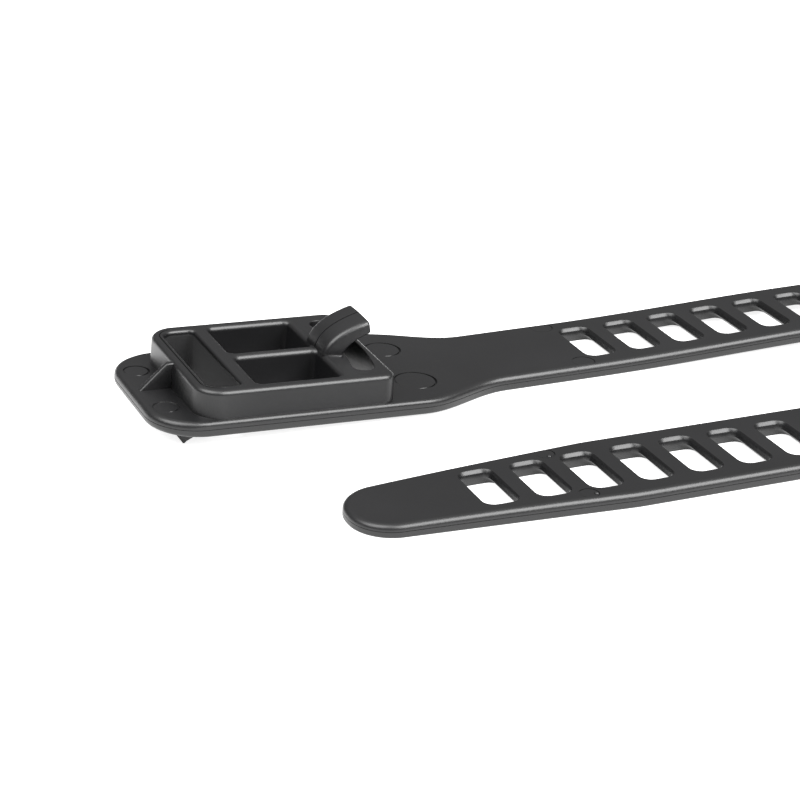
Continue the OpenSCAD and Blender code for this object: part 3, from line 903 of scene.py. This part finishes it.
def satin_plastic(finish, z):
    """Satin black soft plastic: fine grain, a little chalky bloom, and matt where the mould is rough."""
    material = bpy.data.materials.new("satin_soft_plastic")
    material.use_nodes = True
    material.node_tree.nodes.clear()
    bench = Bench(material.node_tree)
    where = bench.node("ShaderNodeTexCoord", None, None, "Object")
    flat = bench.node("ShaderNodeAttribute", {"attribute_name": "as_moulded"}, None, "Vector")
    split = bench.node("ShaderNodeSeparateXYZ", None, {0: flat})
    x, y, height = split.out("X"), split.out("Y"), split.out("Z")

    def noise(scale, detail, rough=0.5):
        return bench.node("ShaderNodeTexNoise", None, {
            "Vector": where, "Scale": scale, "Detail": detail, "Roughness": rough}, "Fac")

    # patches of bloom about 26 mm across, the grain itself, and specks of about a millimetre
    cloud, grain, speck = noise(38.0, 3.0), noise(1.0 / finish.grain_size, 2.0, 0.6), noise(900.0, 1.0)

    # the inserts that leave the tail slot and the foot ridge are spark-eroded, so these are matt
    start, end, half = z.tail_slot_start - 0.8, z.tail_slot_end + 0.4, z.tail_slot_width / 2 + 0.4
    inside = ((x - start) * (end - x) * 2.0).held() * ((half - abs(y)) * 4.0).held()
    mouth = (z.tail_slot_start + 0.4 - x).most(0.0) + (z.box_height - 1.0)
    below = ((height + 0.2) * -5.0).held()
    matt = inside * ((mouth - height) * 2.0).held() + below

    chalk = ((cloud - 0.35) * 1.6).held() * 0.7 + ((speck - 0.6) * 5.0).held() * 0.3
    skin = bench.node("ShaderNodeMix", {"data_type": "RGBA"}, {
        "Factor": chalk, "A": tuple(finish.black), "B": tuple(finish.bloom)})
    rough = (cloud - 0.5) * 0.10 + (grain - 0.5) * 0.08 + finish.satin + matt * finish.matt
    bump = bench.node("ShaderNodeBump", None, {"Strength": 0.55, "Distance": 0.00012, "Height": grain * 0.14})
    shader = bench.node("ShaderNodeBsdfPrincipled", None, {
        "Base Color": skin, "Roughness": rough, "Normal": bump, "IOR": 1.5})
    bench.node("ShaderNodeOutputMaterial", None, {"Surface": shader})
    return material


def floor_sheet(studio):
    """Matt pale floor that is lit a little from below, as a light table is."""
    material = bpy.data.materials.new("pale_floor")
    material.use_nodes = True
    shader = material.node_tree.nodes["Principled BSDF"]
    shader.inputs["Base Color"].default_value = studio.floor_colour
    shader.inputs["Roughness"].default_value = 0.9
    shader.inputs["Specular IOR Level"].default_value = 0.1
    shader.inputs["Emission Color"].default_value = (1.0, 1.0, 1.0, 1.0)
    shader.inputs["Emission Strength"].default_value = studio.floor_glow
    return material


# ---------------------------------------------------------------- operators


def united(pieces):
    """Welds meshes that meet along seams into one closed skin."""
    skin = bmesh.new()
    for mesh in pieces:
        skin.from_mesh(mesh)
        bpy.data.meshes.remove(mesh)
    bmesh.ops.remove_doubles(skin, verts=skin.verts, dist=WELD)
    open_edges = [e for e in skin.edges if len(e.link_faces) != 2]
    if open_edges:
        spots = sorted({tuple(round(c, 1) for c in e.verts[0].co) for e in open_edges})
        raise RuntimeError(f"the moulding is open at {len(open_edges)} edges, first at {spots[:6]}")
    bmesh.ops.recalc_face_normals(skin, faces=skin.faces)
    mesh = bpy.data.meshes.new("moulding_body")
    skin.to_mesh(mesh)
    skin.free()
    return mesh


def turned_out(mesh):
    """Turns the faces of a closed skin outwards."""
    skin = bmesh.new()
    skin.from_mesh(mesh)
    bmesh.ops.recalc_face_normals(skin, faces=skin.faces)
    skin.to_mesh(mesh)
    skin.free()
    return mesh


def keep_vectors(mesh, name, vectors):
    """Keeps a vector for each point of a mesh."""
    mesh.attributes.new(name, "FLOAT_VECTOR", "POINT")
    mesh.attributes[name].data.foreach_set("vector", [c for vector in vectors for c in vector])


def straight_moulding(z, plastic):
    """The whole tie as it leaves the mould, straight and in millimetres."""
    tree, keys = ladder_tree(plastic)
    ladder = with_tree(placed("ladder_cell", ladder_cell(z).mesh("ladder_cell")), tree, keys, {
        "Slots": z.slot_count, "Pitch": z.slot_pitch, "Start": z.ladder_start, "Weld": WELD})
    for vertex in ladder.vertices:
        x, v, height = vertex.co
        vertex.co = (x, tapered(z, x, v), thinned(z, x, height))
    tail = tail_end(z)
    tail.points = [(x, y, thinned(z, x, height)) for x, y, height in tail.points]
    body = placed("moulding_body", united([head_body(z).mesh("head_body"), ladder, tail.mesh("tail_end")]))

    shaped = [("hook", "UNION", hook(z)), ("gusset", "UNION", gusset(z)), ("ridge", "UNION", ridge(z))]
    shaped += [("pin_ring", "DIFFERENCE", pin_ring(z, x, y, radius, side))
               for (x, reach), radius, side in ((NECK_PINS, z.pin_radius, 1), (TAIL_PINS, z.tail_pin_radius, -1))
               for y in (-reach, reach)]
    shaped += [("nib", "UNION", nib(z, x, y)) for x, y in NIBS]
    parts = []
    for name, operation, shell in shaped:
        parts.append(placed(name, turned_out(shell.mesh(name))))
        join = body.modifiers.new(name, "BOOLEAN")
        join.operation, join.solver, join.object = operation, "MANIFOLD", parts[-1]
    straight = baked(body)
    for part in parts:
        discard(part)
    keep_vectors(straight, "as_moulded", [vertex.co for vertex in straight.vertices])
    straight.shade_smooth()
    straight.set_sharp_from_angle(angle=CRISP)
    return straight


def lie_of_the_strap(z):
    """Stations along the lying strap: where each is, and its ways across and up."""
    count = int((z.tie_length + 2 * PATH_SPARE) / PATH_STEP) + 2
    centres, across, up = zip(*(strap_frame(z, i * PATH_STEP - PATH_SPARE) for i in range(count)))
    path = bpy.data.meshes.new("lie_of_the_strap")
    path.from_pydata(centres, [(i, i + 1) for i in range(count - 1)], [])
    keep_vectors(path, "across", across)
    keep_vectors(path, "up", up)
    return placed("lie_of_the_strap", path)


class TIE_OT_mould(bpy.types.Operator):
    """Mould the tie straight, give it its satin skin and lay it down as it comes to rest"""

    bl_idname = "cable_tie.mould"
    bl_label = "Mould and lay the tie"

    def execute(self, context):
        scene = context.scene
        z = in_millimetres(scene.tie_strap, scene.tie_head, scene.tie_lie)
        plastic = satin_plastic(scene.tie_finish, z)
        straight = placed("straight_moulding", straight_moulding(z, plastic))
        lie = lie_of_the_strap(z)
        tree, keys = laying_tree(plastic)
        laid = with_tree(straight, tree, keys, {
            "Path": lie, "Step": PATH_STEP, "Ahead": z.plate_lead + PATH_SPARE, "Mid height": z.mid, "Scale": MM})
        discard(lie)
        laid.name = "cable_tie_moulding"
        laid.materials.clear()
        laid.materials.append(plastic)
        tie = placed("cable_tie_moulding", laid)
        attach(tie, "root")
        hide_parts("cable_tie")
        return {"FINISHED"}


class TIE_OT_studio(bpy.types.Operator):
    """Set the pale floor, the soft lights and the camera round the tie"""

    bl_idname = "cable_tie.studio"
    bl_label = "Set the studio"

    def execute(self, context):
        scene = context.scene
        studio = scene.tie_studio
        mesh = bpy.data.meshes.new("floor")
        reach = 6.0
        mesh.from_pydata([(-reach, -reach, 0), (reach, -reach, 0), (reach, reach, 0), (-reach, reach, 0)], [],
                         [(0, 1, 2, 3)])
        mesh.materials.append(floor_sheet(studio))
        floor = placed("floor", mesh)

        world = bpy.data.worlds.new("room")
        world.use_nodes = True
        world.node_tree.nodes.clear()
        bench = Bench(world.node_tree)
        way = bench.node("ShaderNodeTexCoord", None, None, "Generated")
        up = bench.node("ShaderNodeSeparateXYZ", None, {0: way}).out("Z")
        horizon = 0.16
        glow = ((up - horizon) * studio.ceiling).most(studio.room)
        back = bench.node("ShaderNodeBackground", None, {"Color": (1.0, 1.0, 1.0, 1.0), "Strength": glow})
        bench.node("ShaderNodeOutputWorld", None, {"Surface": back})
        scene.world = world

        for name, strength, way in (("key", studio.key, studio.key_from), ("fill", studio.fill, studio.fill_from)):
            data = bpy.data.lights.new(name, "SUN")
            data.energy, data.angle = strength, studio.key_spread
            placed(name, data).rotation_euler = (-Vector(way)).to_track_quat("-Z", "Y").to_euler()
        scene.view_settings.view_transform = "Standard"

        data = bpy.data.cameras.new("camera")
        data.lens, data.sensor_width, data.sensor_fit = studio.lens, 36.0, "HORIZONTAL"
        data.clip_start, data.clip_end = 0.01, 50.0
        camera = placed("camera", data)
        ahead = Vector(studio.camera_aim).normalized()
        right = ahead.cross(Vector((0, 0, 1))).normalized()
        upward = right.cross(ahead)
        level_view = Matrix((right, upward, -ahead)).transposed().to_4x4()
        camera.matrix_world = (Matrix.Translation(studio.camera_place) @ level_view
                               @ Matrix.Rotation(studio.camera_roll, 4, "Z"))
        scene.camera = camera
        return {"FINISHED"}


class TIE_PT_sidebar(bpy.types.Panel):
    """Sizes, finish and studio of the cable tie"""

    bl_idname = "TIE_PT_sidebar"
    bl_label = "Cable tie"
    bl_space_type = "VIEW_3D"
    bl_region_type = "UI"
    bl_category = "Cable tie"

    def draw(self, context):
        layout = self.layout
        for operator in (TIE_OT_mould, TIE_OT_studio):
            layout.operator(operator.bl_idname)
        for heading, group in (("Strap", context.scene.tie_strap), ("Head", context.scene.tie_head),
                               ("Lie", context.scene.tie_lie), ("Finish", context.scene.tie_finish),
                               ("Studio", context.scene.tie_studio)):
            box = layout.box()
            box.label(text=heading)
            for key in group.__annotations__:
                box.prop(group, key)


GROUPS = {"tie_strap": StrapSizes, "tie_head": HeadSizes, "tie_lie": LieSizes,
          "tie_finish": FinishSettings, "tie_studio": StudioSettings}
CLASSES = (*GROUPS.values(), TIE_OT_mould, TIE_OT_studio, TIE_PT_sidebar)


def register():
    for kind in CLASSES:
        bpy.utils.register_class(kind)
    for name, group in GROUPS.items():
        setattr(bpy.types.Scene, name, bpy.props.PointerProperty(type=group))


def unregister():
    for name in GROUPS:
        delattr(bpy.types.Scene, name)
    for kind in reversed(CLASSES):
        bpy.utils.unregister_class(kind)


def main():
    register()
    bpy.ops.cable_tie.mould()
    bpy.ops.cable_tie.studio()


if __name__ == "__main__":
    main()
